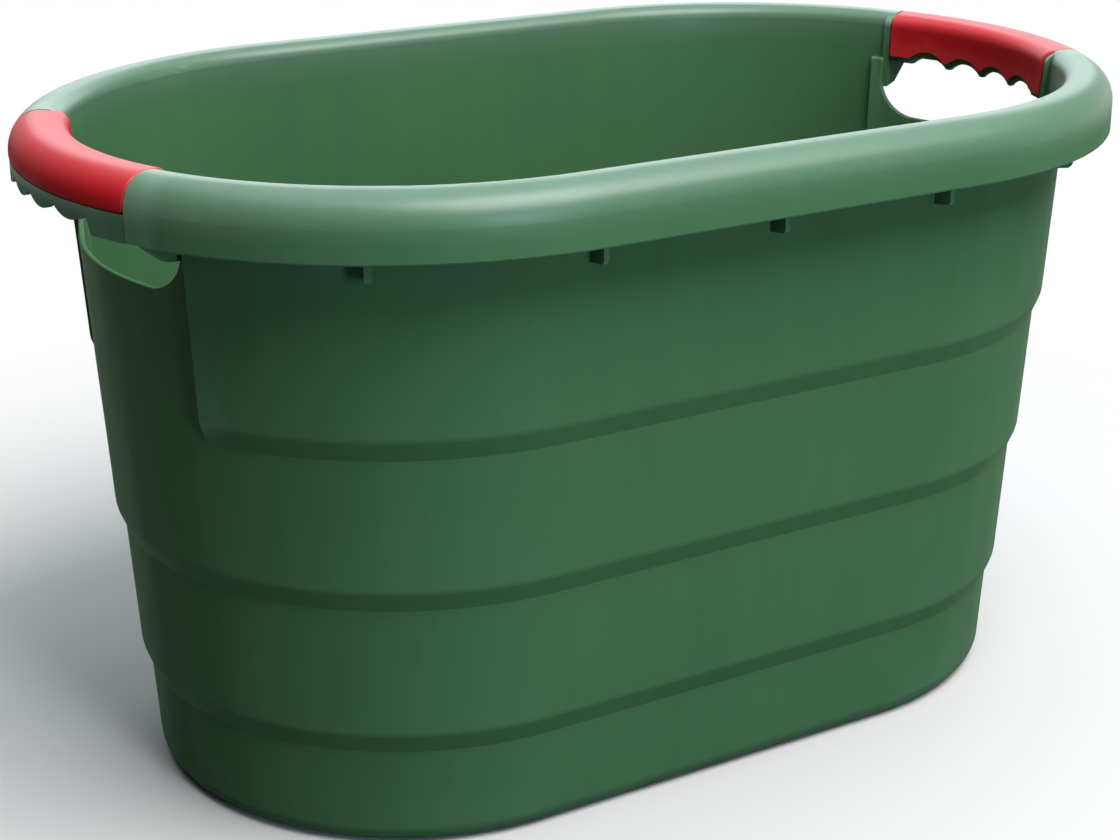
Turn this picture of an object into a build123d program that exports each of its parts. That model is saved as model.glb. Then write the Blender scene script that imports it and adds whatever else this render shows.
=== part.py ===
from build123d import *
from math import cos, degrees, radians, sin, tan
import os

# Garden basket: a long oval tub with a rolled rim, a handle bar in each end and a grip cover on each bar.
# Length lies along X and width along Y, in millimetres.
# The origin is the middle of the plane that the foot ring rests on.

# Overall size, over the rim
rim_length = 674.0
rim_width = 432.0
height = 384.0

# Wall, with its slope and the ledges that step it inwards on the way down
wall = 3.2
draft = 3.3
ledge_count = 3
first_ledge = 60.0
ledge_pitch = 88.0
ledge_height = 12.0
ledge_step = 4.8
ledge_round = 10.0

# Floor, raised a little inside a foot ring
base_round = 12.0
foot_width = 34.0
foot_height = 2.0

# Rolled rim: a top that falls gently to the inner lip, a large outer rounding and a hanging skirt
rim_overhang = 25.5
rim_round = 17.0
lip_slope = 5.0
lip_round = 8.5
skirt_drop = 34.4
skirt_edge_round = 1.2

# Handle bay: the end wall stays on the lower wall's line here, and the hand-hole is cut through it
handle_half_angle = 24.2
bay_margin_angle = 2.8
bay_top_drop = 30.0
hole_drop = 68.0
hole_corner = 25.0
hole_edge_round = 1.2

# Handle bar: the rim set back under the grip cover, with finger grooves in its web and lobes on its skirt
finger_count = 4
finger_pitch = 30.5
finger_depth = 5.6
finger_tooth = 3.0
tooth_round = 2.5
lobe_depth = 4.5
lobe_drop = 29.0
lobe_end_angle = 70.0
web_tooth_drop = 32.0
bar_setback = 0.3

# Grip cover, flush with the rim
grip_wall = 2.4
grip_skirt = 2.1
grip_tooth_drop = 28.0
grip_fit = 0.2
grip_end_gap = 0.8
grip_corner = 4.0
grip_edge_round = 1.6
grip_end_round = 1.1

# Snap pegs that hold the cover on the bar
peg_count = 3
peg_spread_angle = 16.0
peg_diameter = 6.0
peg_catch = 0.8
peg_play = 1.0
peg_nose = 4.0
peg_slot = 1.6

# Stiffening lugs under the rim
lug_wall = 3.0
lug_drop = 49.5
lug_rise = 2.0
lug_reach = 13.5
lug_round = 3.0
side_lug_count = 3
side_lug_inset = 10.0
corner_lug_angle = 58.0
hole_lug_reach = 10.0
hole_lug_wall = 5.0

# Places worked out from the sizes above
end_radius = rim_width / 2
straight_half = (rim_length - rim_width) / 2
end_axis = Axis((straight_half, 0, 0), (0, 0, 1))
fall = tan(radians(draft))
lip_fall = tan(radians(lip_slope))
lip_lean = 1 / cos(radians(lip_slope))
rim_corner_z = height + rim_round * (lip_fall + lip_lean - 1)
skirt_z = height - skirt_drop
bay_top = height - bay_top_drop
bay_foot = first_ledge + (ledge_count - 1) * ledge_pitch
bay_half_angle = handle_half_angle + bay_margin_angle
hole_z = height - hole_drop
lug_z = height - lug_drop
cover = grip_wall + grip_fit
seat_z = height - rim_round - grip_skirt - grip_fit
shelf_z = bay_top - wall
flange_z = height - cover - lip_round
wall_angle = degrees(wall / (end_radius - rim_overhang))
hole_lug_angle = degrees(hole_lug_wall / (end_radius - rim_overhang))
side_lug_pitch = 2 * (straight_half - side_lug_inset) / (side_lug_count - 1)
overrun = 2 * wall
hung = (Align.CENTER, Align.MAX)


def wall_face(z):
    """Outer face of the wall above the ledges, as a distance from the end's axis."""
    return end_radius - rim_overhang - (height - z) * fall


def bay_face(z):
    """Outer face of the handle bay, which carries the wall below the top ledge straight on up."""
    return wall_face(z) - ledge_step + ledge_height * fall


def rim_corner(depth):
    """Outer top corner of the rim before rounding, at a depth below its skin."""
    return end_radius - depth, rim_corner_z - depth * (lip_fall + lip_lean)


def rim_top(out, depth):
    """Height of the rim's sloping top at a distance out from the end's axis, at a depth below its skin."""
    return rim_corner_z - (end_radius - out) * lip_fall - depth * lip_lean


def lip_corner(depth, face=wall_face):
    """Inner top corner of the rim, or of the bar over the bay, before rounding, at a depth below its skin."""
    out = face(height) - wall + depth
    up = rim_top(out, depth)
    return face(up) - wall + depth, up


def face_of(corners):
    """Closed face through corners given as (out, up, rounding)."""
    points = [corner[:2] for corner in corners]
    roundings = [corner[2] for corner in corners]
    with BuildSketch() as face:
        with BuildLine():
            FilletPolyline(*points, radius=roundings, close=True)
        make_face()
    return face.sketch


def end_plane(angle):
    """Upright plane through the round end's axis, turned by an angle from the end's outward direction."""
    along = Vector(1, 0, 0).rotate(Axis.Z, angle)
    return Plane(origin=(straight_half, 0, 0), x_dir=along, z_dir=along.cross(Vector(0, 0, 1)))


def stepped_wall(inset):
    """Corners down the wall's face from the top ledge to the base, set in from the outer face."""
    out, level, corners = wall_face(height), height, []
    for ledge in reversed(range(ledge_count)):
        ledge_z = first_ledge + ledge * ledge_pitch
        out -= (level - ledge_z - ledge_height) * fall
        corners.append((out - inset, ledge_z + ledge_height, ledge_round))
        out -= ledge_step
        corners.append((out - inset, ledge_z, 0))
        level = ledge_z
    return corners, out - inset - level * fall


def rim_corners():
    """Corners over the rim, from its inner lip round the skirt to the wall's outer face."""
    return [
        (*lip_corner(0), lip_round),
        (*rim_corner(0), rim_round),
        (end_radius, skirt_z, skirt_edge_round),
        (end_radius - wall, skirt_z, skirt_edge_round),
        (*rim_corner(wall), rim_round - wall),
        (*lip_corner(wall), lip_round - wall),
    ]


def tub_half():
    """Half of the tub's upright section, from the middle of the floor to the rim."""
    outer, base_out = stepped_wall(0)
    inner, inner_base = stepped_wall(wall)
    floor_top = foot_height + wall
    foot_in = base_out - base_round - foot_width
    floor = [
        (base_out, 0, base_round),
        (foot_in, 0, 0),
        (foot_in - foot_height, foot_height, 0),
        (0, foot_height, 0),
        (0, floor_top, 0),
        (inner_base + floor_top * fall, floor_top, base_round),
    ]
    return face_of(inner[::-1] + rim_corners() + outer + floor)


def bay_wall():
    """Section of the handle bay's wall and of the small shelf on its top, rooted in the wall above."""
    foot, shelf, head = bay_face(bay_foot), bay_face(shelf_z), bay_face(bay_top) - wall
    root = wall / 2
    return face_of(
        [
            (foot, bay_foot, 0),
            (shelf, shelf_z, 0),
            (wall_face(shelf_z) - root, shelf_z, 0),
            (wall_face(bay_top) - root, bay_top, 0),
            (head, bay_top, root),
            (foot - wall, bay_foot, 0),
        ]
    )


def bar_section():
    """Section of the handle bar without its web: skirt, seat for the cover's edge, top and flange."""
    flange_in = bay_face(flange_z) - wall + cover
    foot_z = skirt_z + bar_setback
    skirt_in = end_radius - wall + bar_setback
    edge_round = skirt_edge_round - bar_setback
    return face_of(
        [
            (end_radius - bar_setback, foot_z, edge_round),
            (end_radius - bar_setback, seat_z, 0),
            (end_radius - cover, seat_z, 0),
            (*rim_corner(cover), rim_round - cover),
            (*lip_corner(cover, bay_face), lip_round - cover),
            (flange_in, flange_z, 0),
            (flange_in + wall, flange_z, 0),
            (*lip_corner(cover + wall, bay_face), lip_round - cover - wall),
            (*rim_corner(cover + wall), rim_round - cover - wall),
            (end_radius - cover - wall, seat_z - wall, 0),
            (skirt_in, seat_z - wall, 0),
            (skirt_in, foot_z, edge_round),
        ]
    )


def web_section():
    """Section of the handle bar's inner web, rooted in the bar's flange just behind the grip cover."""
    head_z = flange_z + wall / 2
    foot_z = height - web_tooth_drop - overrun
    head = bay_face(head_z) - wall + cover
    foot = bay_face(foot_z) - wall + cover
    near, far = bar_setback, wall - bar_setback
    return face_of(
        [
            (head + near, head_z, 0),
            (foot + near, foot_z, 0),
            (foot + far, foot_z, 0),
            (head + far, head_z, 0),
        ]
    )


def grip_section():
    """Section of the grip cover: flush with the rim outside, over the bar inside."""
    leg_z = height - grip_tooth_drop - overrun
    leg_out = bay_face(leg_z) - wall
    edge_z = seat_z + grip_fit
    return face_of(
        [
            (end_radius, edge_z, grip_edge_round),
            (*rim_corner(0), rim_round),
            (*lip_corner(0, bay_face), lip_round),
            (leg_out, leg_z, 0),
            (leg_out + grip_wall, leg_z, 0),
            (*lip_corner(grip_wall, bay_face), lip_round - grip_wall),
            (*rim_corner(grip_wall), rim_round - grip_wall),
            (end_radius - grip_wall, edge_z, 0),
        ]
    )


def finger_comb(tooth_drop, half_width):
    """Face below a row of finger grooves, with rounded teeth between them, drawn across the end."""
    tooth_z = height - tooth_drop
    half_groove = (finger_pitch - finger_tooth) / 2
    groove_radius = (half_groove**2 + finger_depth**2) / (2 * finger_depth)
    depth = groove_radius + finger_depth
    with BuildSketch() as comb:
        with Locations((0, tooth_z)):
            Rectangle(2 * half_width, depth, align=hung)
        with Locations((0, tooth_z + finger_depth - groove_radius)):
            with GridLocations(finger_pitch, 1, finger_count, 1):
                Circle(groove_radius)
        corners = comb.vertices().filter_by_position(Axis.Y, tooth_z, tooth_z).sort_by(Axis.X)
        fillet(corners[1:-1], tooth_round)
        corners = comb.vertices().filter_by_position(Axis.Y, tooth_z, tooth_z).sort_by(Axis.X)
        fillet([corners[0], corners[-1]], finger_depth / 2)
    return comb.sketch


def lobe_comb():
    """Face below the lobes of the bar's skirt, one over each finger groove, drawn across the end."""
    tip_z = height - lobe_drop
    half_lobe = (finger_pitch - finger_tooth) / 2
    lobe_radius = (half_lobe**2 + lobe_depth**2) / (2 * lobe_depth)
    depth = skirt_drop - lobe_drop + 2 * lobe_depth
    width = finger_count * finger_pitch + 2 * depth / tan(radians(lobe_end_angle))
    with BuildSketch() as comb:
        with Locations((0, tip_z + lobe_depth)):
            Trapezoid(width, depth, lobe_end_angle, align=hung)
        with Locations((0, tip_z + lobe_radius)):
            with GridLocations(finger_pitch, 1, finger_count, 1):
                Circle(lobe_radius, mode=Mode.SUBTRACT)
    return comb.sketch


def lug_outline(face, reach, shoulder):
    """Outline of a lug under the rim, rooted in the middle of a wall, the rim's top and the skirt."""
    root = wall / 2
    foot = face(lug_z)
    return face_of(
        [
            (foot - root, lug_z, 0),
            (foot + reach, lug_z + lug_rise, lug_round),
            (foot + shoulder, skirt_z + root, 0),
            (end_radius - root, skirt_z + root, 0),
            (*rim_corner(root), rim_round - root),
            (*lip_corner(root, face), lip_round - root),
        ]
    )


# Inner web and handle bar, made by themselves so that the finger grooves of one leave the other alone
peg_ring = (end_radius - rim_round, peg_count, -peg_spread_angle, 2 * peg_spread_angle)
hanging = (Align.CENTER, Align.CENTER, Align.MAX)
standing = (Align.CENTER, Align.CENTER, Align.MIN)
with BuildPart() as handle_web:
    with BuildSketch(end_plane(-handle_half_angle)):
        add(web_section())
    revolve(axis=end_axis, revolution_arc=2 * handle_half_angle)
    with BuildSketch(Plane.YZ.offset(straight_half)):
        add(finger_comb(web_tooth_drop, end_radius))
    extrude(amount=rim_width, mode=Mode.SUBTRACT)

with BuildPart() as handle_bar:
    with BuildSketch(end_plane(-handle_half_angle)):
        add(bar_section())
    revolve(axis=end_axis, revolution_arc=2 * handle_half_angle)
    with BuildSketch(Plane.YZ.offset(straight_half)):
        add(lobe_comb())
    extrude(amount=rim_width, mode=Mode.SUBTRACT)
    with Locations((straight_half, 0, height)):
        with PolarLocations(*peg_ring, endpoint=True):
            Cylinder(peg_diameter / 2 + grip_fit, cover + overrun, align=hanging, mode=Mode.SUBTRACT)
    add(handle_web.part)

# Wall of the handle bay, with the hand-hole cut down into it and its edge rounded.
# It runs one wall thickness behind the wall outside the bay, so that the step between them is as thick.
bay_reach_angle = bay_half_angle + wall_angle
with BuildPart() as bay:
    with BuildSketch(end_plane(-bay_reach_angle)):
        add(bay_wall())
    revolve(axis=end_axis, revolution_arc=2 * bay_reach_angle)
    hole_half_width = wall_face(height) * sin(radians(handle_half_angle))
    with BuildSketch(Plane.YZ.offset(straight_half)):
        with Locations((0, hole_z)):
            hole = Rectangle(2 * hole_half_width, height, align=(Align.CENTER, Align.MIN))
        fillet(hole.vertices().group_by(Axis.Y)[0], hole_corner)
    extrude(amount=rim_width, mode=Mode.SUBTRACT)
    hole_edges = bay.edges(Select.LAST).filter_by(GeomType.LINE, reverse=True)
    fillet(hole_edges.filter_by_position(Axis.Z, hole_z - wall, shelf_z - wall), hole_edge_round)

# Round end of the tub
side_lug = lug_outline(wall_face, lug_reach, lug_reach)
hole_lug = lug_outline(bay_face, hole_lug_reach, end_radius - bay_face(lug_z) - wall)
with BuildPart() as round_end:
    with BuildSketch(end_plane(-90)):
        add(tub_half())
    revolve(axis=end_axis, revolution_arc=180)

    # Handle bay: the standard wall goes, with the rim over the hand-hole, and the bay's own wall comes in
    for half_angle, top in ((bay_half_angle, shelf_z), (handle_half_angle, height + overrun)):
        with BuildSketch(end_plane(-half_angle)):
            with Locations((end_radius + overrun, bay_foot)):
                Rectangle(end_radius / 2, top - bay_foot, align=(Align.MAX, Align.MIN))
        revolve(axis=end_axis, revolution_arc=2 * half_angle, mode=Mode.SUBTRACT)
    add(bay.part)

    # Lugs round the corners and beside the hand-hole, where they carry the handle bar
    for angle in (-corner_lug_angle, corner_lug_angle):
        with BuildSketch(end_plane(angle)):
            add(side_lug)
        extrude(amount=lug_wall / 2, both=True)
    for start in (-handle_half_angle - hole_lug_angle, handle_half_angle):
        with BuildSketch(end_plane(start)):
            add(hole_lug)
        revolve(axis=end_axis, revolution_arc=hole_lug_angle)
    add(handle_bar.part)

# Tub: half of the straight run with its side lugs, then the round end, mirrored to the other half
with BuildPart() as tub:
    with BuildSketch(Plane.YZ):
        add(tub_half())
        mirror(about=Plane.YZ)
    extrude(amount=straight_half)
    for step in range(side_lug_count // 2, side_lug_count):
        middle = (step - (side_lug_count - 1) / 2) * side_lug_pitch
        near_face = max(middle - lug_wall / 2, 0)
        with BuildSketch(Plane.YZ.offset(near_face)):
            add(side_lug)
            mirror(about=Plane.YZ)
        extrude(amount=middle + lug_wall / 2 - near_face)
    add(round_end.part)
    mirror(about=Plane.YZ)
tub.part.label = "tub"

# Grip cover on the right end, with snap pegs through the bar
gap_angle = degrees(grip_end_gap / wall_face(height))
grip_half_angle = handle_half_angle - gap_angle
corner_y = end_radius * sin(radians(grip_half_angle))
catch_z = height - cover - wall - peg_play
with BuildPart() as grip_right:
    with BuildSketch(end_plane(-grip_half_angle)):
        add(grip_section())
    revolve(axis=end_axis, revolution_arc=2 * grip_half_angle)
    ends = grip_right.faces().filter_by(GeomType.PLANE).filter_by(Axis.Z, reverse=True)
    fillet(ends.edges(), grip_end_round)
    with BuildSketch(Plane.YZ.offset(straight_half)):
        add(finger_comb(grip_tooth_drop, end_radius))
    extrude(amount=rim_width, mode=Mode.SUBTRACT)
    for side, inward in ((-1, Align.MIN), (1, Align.MAX)):
        with BuildSketch(Plane.YZ.offset(straight_half)):
            with Locations((side * corner_y, seat_z + grip_fit)):
                Rectangle(grip_corner, grip_corner, align=(inward, Align.MIN))
            with Locations((side * (corner_y - grip_corner), seat_z + grip_fit + grip_corner)):
                Circle(grip_corner, mode=Mode.SUBTRACT)
        extrude(amount=rim_width, mode=Mode.SUBTRACT)
    with Locations((straight_half, 0, height - grip_wall / 2)):
        with PolarLocations(*peg_ring, endpoint=True):
            Cylinder(peg_diameter / 2, height - grip_wall / 2 - catch_z, align=hanging)
    with Locations((straight_half, 0, catch_z)):
        with PolarLocations(*peg_ring, endpoint=True):
            Cone(peg_diameter / 2 - peg_catch, peg_diameter / 2 + peg_catch, peg_nose, align=hanging)
    with Locations((straight_half, 0, catch_z - peg_nose)):
        with PolarLocations(*peg_ring, endpoint=True):
            Box(peg_slot, peg_diameter + overrun, peg_nose + wall, align=standing, mode=Mode.SUBTRACT)
grip_right.part.label = "grip_right"

with BuildPart() as grip_left:
    mirror(grip_right.part, about=Plane.YZ)
grip_left.part.label = "grip_left"

os.makedirs("parts", exist_ok=True)
for piece in (tub.part, grip_left.part, grip_right.part):
    export_step(piece, f"parts/{piece.label}.step")
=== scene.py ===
import math

import bpy
from mathutils import Matrix, Vector

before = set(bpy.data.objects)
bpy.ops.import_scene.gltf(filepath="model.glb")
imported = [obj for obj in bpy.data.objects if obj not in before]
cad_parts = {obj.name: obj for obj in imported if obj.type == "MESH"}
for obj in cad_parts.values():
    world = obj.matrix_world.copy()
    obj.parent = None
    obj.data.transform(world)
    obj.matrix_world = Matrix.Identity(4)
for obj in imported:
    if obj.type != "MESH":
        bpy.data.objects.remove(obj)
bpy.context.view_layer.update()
scene = bpy.context.scene
scene.view_settings.view_transform = "Standard"

# The photograph's camera: metres, degrees, and pixels of a picture 1120 wide and 840 high.
# The lens axis lies right of and above the middle of the picture.
aim = Vector((0.0, 0.0, 0.192))
azimuth = -31.369
elevation = 19.484
roll = 0.014
distance = 1.3442
picture_width = 1120
focal_pixels = 2178.05
axis_right_pixels = 26.6
axis_up_pixels = 34.8
sensor_millimetres = 36.0
nearest_seen = 0.05

# Linear colours of the lamps and of the floor, as it is seen and as it throws light back
white = (1.0, 1.0, 1.0)
cool_white = (0.84, 0.95, 1.0)
window_blue = (0.60, 0.82, 1.0)
floor_colour = (0.63, 0.61, 0.60)
floor_bounce = (0.08, 0.08, 0.08)

# The floor's half width, and the distances from the tub's axis between which it fades to white
floor_reach = 40.0
floor_fade = (0.42, 0.85)

# The world scatters little light. Seen directly, it dims from the horizon upwards, by the view's height.
world_fill = 0.02
world_strength = (1.0, 0.35)
world_dimming = (0.02, 0.35)

# What both plastics share: noise scales are per metre, relief distances in metres
plastic_ior = 1.5
coat_roughness = 0.38
down_the_wall = (1.0, 1.0, 0.05)
cloud_noise = {"Scale": 9.0, "Detail": 4.0, "Roughness": 0.55}
streak_noise = {"Scale": 95.0, "Detail": 3.0, "Roughness": 0.6}
streak_share = 0.45
tone_noise_range = (0.36, 0.66)
tone_swing = 0.05
mottle_noise = {"Scale": 42.0, "Detail": 5.0, "Roughness": 0.6}
mottle_noise_range = (0.3, 0.7)
gloss_swing = 0.06
# Edges paled by their pointiness: rubbed wear and a painted edge highlight
edge_pointiness = (0.505, 0.56)
edge_wear_and_highlight = 0.5
wave_noise = {"Scale": 14.0, "Detail": 2.0}
wave_relief = {"Strength": 0.35, "Distance": 0.0008}
grain_noise = {"Scale": 1400.0, "Detail": 2.0}
grain_relief = {"Strength": 0.18, "Distance": 0.00012}


def outward(around, above):
    """The direction away from the tub: degrees from the front, positive to the right, and degrees above level."""
    turn, rise = math.radians(around), math.radians(above)
    return Vector((math.sin(turn) * math.cos(rise), -math.cos(turn) * math.cos(rise), math.sin(rise)))


def facing_tub(around, above, away):
    """The placement of a camera or lamp that looks at the aim from a distance."""
    direction = outward(around, above)
    facing = (-direction).to_track_quat("-Z", "Y").to_matrix().to_4x4()
    return Matrix.Translation(aim + away * direction) @ facing


def make_camera():
    data = bpy.data.cameras.new("photo_camera")
    data.sensor_fit = "HORIZONTAL"
    data.sensor_width = sensor_millimetres
    data.lens = sensor_millimetres * focal_pixels / picture_width
    data.shift_x = -axis_right_pixels / picture_width
    data.shift_y = -axis_up_pixels / picture_width
    data.clip_start = nearest_seen
    camera = bpy.data.objects.new("photo_camera", data)
    tilt = Matrix.Rotation(math.radians(roll), 4, "Z")
    camera.matrix_world = facing_tub(azimuth, elevation, distance) @ tilt
    scene.collection.objects.link(camera)
    scene.camera = camera


def softbox(name, around, above, away, size, radiance, colour=white):
    """A rectangular lamp aimed at the tub; its power follows from its size and radiance."""
    data = bpy.data.lights.new(name, "AREA")
    data.shape = "RECTANGLE"
    data.size, data.size_y = size
    data.energy = radiance * math.pi * size[0] * size[1]
    data.color = colour
    lamp = bpy.data.objects.new(name, data)
    lamp.matrix_world = facing_tub(around, above, away)
    lamp.visible_camera = False
    scene.collection.objects.link(lamp)


def opaque(colour):
    return (*colour, 1.0)


class Nodes:
    """Short calls for building the node tree of a material or world."""

    def __init__(self, owner):
        owner.use_nodes = True
        self.tree = owner.node_tree
        self.tree.nodes.clear()

    def add(self, kind, **settings):
        """A new node. Each setting is one of its properties or the constant of one of its inputs."""
        node = self.tree.nodes.new(kind)
        for name, value in settings.items():
            if hasattr(node, name):
                setattr(node, name, value)
            else:
                node.inputs[name.replace("_", " ")].default_value = value
        return node

    def join(self, source, target):
        self.tree.links.new(source, target)

    def coordinate(self, kind):
        return self.add("ShaderNodeTexCoord").outputs[kind]

    def height(self, place):
        parts = self.add("ShaderNodeSeparateXYZ")
        self.join(place, parts.inputs["Vector"])
        return parts.outputs["Z"]

    def calculate(self, operation, first, second):
        node = self.add("ShaderNodeMath", operation=operation)
        self.join(first, node.inputs[0])
        self.join(second, node.inputs[1])
        return node.outputs["Value"]

    def remap(self, value, before, after, curve="LINEAR"):
        """Carries a value from the range before to the range after, and holds it there."""
        node = self.add("ShaderNodeMapRange", interpolation_type=curve, From_Min=before[0], From_Max=before[1],
                        To_Min=after[0], To_Max=after[1])
        self.join(value, node.inputs["Value"])
        return node.outputs["Result"]

    def noise(self, place, settings):
        node = self.add("ShaderNodeTexNoise", **settings)
        self.join(place, node.inputs["Vector"])
        return node.outputs["Fac"]

    def relief(self, height, settings):
        node = self.add("ShaderNodeBump", **settings)
        self.join(height, node.inputs["Height"])
        return node

    def tint(self, base, colour, share, blend):
        """Blends a constant colour into the base."""
        node = self.add("ShaderNodeMix", data_type="RGBA", blend_type=blend)
        under, over = [socket for socket in node.inputs if socket.type == "RGBA"]
        over.default_value = opaque(colour)
        self.join(share, node.inputs["Factor"])
        self.join(base, under)
        return next(socket for socket in node.outputs if socket.type == "RGBA")

    def choose(self, share, first, second):
        """Turns the first shader into the second as the share goes from nought to one."""
        node = self.add("ShaderNodeMixShader")
        self.join(share, node.inputs["Fac"])
        self.join(first, node.inputs[1])
        self.join(second, node.inputs[2])
        return node.outputs["Shader"]

    def seen_directly(self):
        """One for camera, glossy and transmission rays, nought for the light that a surface scatters."""
        path = self.add("ShaderNodeLightPath").outputs
        mirrored = self.calculate("MAXIMUM", path["Is Camera Ray"], path["Is Glossy Ray"])
        return self.calculate("MAXIMUM", mirrored, path["Is Transmission Ray"])


def moulded_plastic(name, colour, wear_and_edge_highlight, painted_sheen, roughness, specular, polish_heights, polish_weight):
    """Matt moulded plastic with flow streaks, mottled gloss and fine grain, polished at the top, with a painted
    sheen tinting the colour where it is polished and edges paled by rubbed wear and a painted edge highlight.
    """
    material = bpy.data.materials.new(name)
    nodes = Nodes(material)
    shader = nodes.add("ShaderNodeBsdfPrincipled", IOR=plastic_ior, Specular_IOR_Level=specular,
                       Coat_IOR=plastic_ior, Coat_Roughness=coat_roughness)
    output = nodes.add("ShaderNodeOutputMaterial")
    nodes.join(shader.outputs["BSDF"], output.inputs["Surface"])
    place = nodes.coordinate("Object")
    stretch = nodes.add("ShaderNodeMapping", Scale=down_the_wall)
    nodes.join(place, stretch.inputs["Vector"])
    stretched = stretch.outputs["Vector"]

    # polish: a clear skin that grows with the height
    polish = nodes.remap(nodes.height(place), polish_heights, (0.0, polish_weight), "SMOOTHSTEP")
    nodes.join(polish, shader.inputs["Coat Weight"])

    # colour: slow clouds, streaks that run down the wall, a painted sheen added where the skin is polished, edges
    # paled by rubbing and by a painted highlight
    blend = nodes.add("ShaderNodeMix", data_type="FLOAT", Factor=streak_share)
    nodes.join(nodes.noise(place, cloud_noise), blend.inputs["A"])
    nodes.join(nodes.noise(stretched, streak_noise), blend.inputs["B"])
    tones = nodes.add("ShaderNodeValToRGB")
    shades = (1.0 - tone_swing, 1.0 + tone_swing)
    for stop, position, shade in zip(tones.color_ramp.elements, tone_noise_range, shades):
        stop.position = position
        stop.color = opaque([shade * channel for channel in colour])
    nodes.join(blend.outputs["Result"], tones.inputs["Fac"])
    # painted sheen: a pale tint added to the colour as the polish grows
    with_painted_sheen = nodes.tint(tones.outputs["Color"], painted_sheen, polish, "ADD")
    pointiness = nodes.add("ShaderNodeNewGeometry").outputs["Pointiness"]
    # paler edges: part rubbed wear, part painted edge highlight
    rubbed_and_highlit = nodes.tint(with_painted_sheen, wear_and_edge_highlight, nodes.remap(pointiness, edge_pointiness, (0.0, edge_wear_and_highlight)), "MIX")
    nodes.join(rubbed_and_highlit, shader.inputs["Base Color"])

    # gloss: mottled
    mottle = nodes.noise(stretched, mottle_noise)
    gloss = nodes.remap(mottle, mottle_noise_range, (roughness - gloss_swing, roughness + gloss_swing))
    nodes.join(gloss, shader.inputs["Roughness"])

    # relief: slow waviness of the moulded wall, then fine grain
    waves = nodes.relief(nodes.noise(stretched, wave_noise), wave_relief)
    grain = nodes.relief(nodes.noise(place, grain_noise), grain_relief)
    nodes.join(waves.outputs["Normal"], grain.inputs["Normal"])
    nodes.join(grain.outputs["Normal"], shader.inputs["Normal"])
    return material


def dress(node, material):
    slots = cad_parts[node].material_slots
    for slot in slots:
        slot.material = material
    if not slots:
        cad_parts[node].data.materials.append(material)


def make_floor():
    mesh = bpy.data.meshes.new("floor")
    signs = ((-1, -1), (1, -1), (1, 1), (-1, 1))
    mesh.from_pydata([(floor_reach * x, floor_reach * y, 0.0) for x, y in signs], [], [(0, 1, 2, 3)])
    floor = bpy.data.objects.new("floor", mesh)
    scene.collection.objects.link(floor)
    material = bpy.data.materials.new("floor")
    mesh.materials.append(material)
    nodes = Nodes(material)
    seen = nodes.seen_directly()

    # near the tub: pale to the eye, but dark in what it throws back at the wall
    pale = nodes.add("ShaderNodeBsdfDiffuse", Color=opaque(floor_colour))
    bounce = nodes.add("ShaderNodeBsdfDiffuse", Color=opaque(floor_bounce))
    near = nodes.choose(seen, bounce.outputs["BSDF"], pale.outputs["BSDF"])

    # far from the tub: the plain white backdrop
    away = nodes.add("ShaderNodeVectorMath", operation="LENGTH")
    nodes.join(nodes.coordinate("Object"), away.inputs[0])
    fade = nodes.remap(away.outputs["Value"], floor_fade, (0.0, 1.0), "SMOOTHSTEP")
    backdrop = nodes.add("ShaderNodeEmission", Color=opaque(white), Strength=1.0)
    surface = nodes.choose(nodes.calculate("MULTIPLY", fade, seen), near, backdrop.outputs["Emission"])
    output = nodes.add("ShaderNodeOutputMaterial")
    nodes.join(surface, output.inputs["Surface"])


def make_world():
    world = bpy.data.worlds.new("studio")
    scene.world = world
    nodes = Nodes(world)
    fill = nodes.add("ShaderNodeBackground", Color=opaque(white), Strength=world_fill)
    backdrop = nodes.add("ShaderNodeBackground", Color=opaque(white))
    height = nodes.height(nodes.coordinate("Generated"))
    strength = nodes.remap(height, world_dimming, world_strength, "SMOOTHSTEP")
    nodes.join(strength, backdrop.inputs["Strength"])
    surface = nodes.choose(nodes.seen_directly(), fill.outputs["Background"], backdrop.outputs["Background"])
    output = nodes.add("ShaderNodeOutputWorld")
    nodes.join(surface, output.inputs["Surface"])


make_camera()
make_floor()
make_world()
softbox("key_softbox", around=18.0, above=59.0, away=2.7, size=(2.1, 1.8), radiance=8.8)
softbox("top_softbox", around=149.0, above=84.0, away=1.75, size=(2.4, 2.2), radiance=1.78, colour=cool_white)
softbox("back_softbox", around=150.0, above=24.0, away=2.4, size=(2.6, 1.0), radiance=2.55, colour=cool_white)
softbox("corner_strip", around=-2.0, above=8.0, away=1.5, size=(0.20, 0.64), radiance=17.0, colour=window_blue)
# The tint added at the top of each plastic is a painted sheen; the paler edge colour is rubbed wear and a painted
# edge highlight.
green_plastic = moulded_plastic(
    "green_plastic", colour=(0.053, 0.140, 0.059), wear_and_edge_highlight=(0.15, 0.28, 0.19), painted_sheen=(0.012, 0.002, 0.024),
    roughness=0.70, specular=0.11, polish_heights=(0.357, 0.378), polish_weight=1.0)
red_plastic = moulded_plastic(
    "red_plastic", colour=(0.47, 0.008, 0.013), wear_and_edge_highlight=(0.62, 0.04, 0.045), painted_sheen=(0.0, 0.022, 0.024),
    roughness=0.66, specular=0.10, polish_heights=(0.371, 0.387), polish_weight=0.75)
dress("tub", green_plastic)
dress("grip_left", red_plastic)
dress("grip_right", red_plastic)
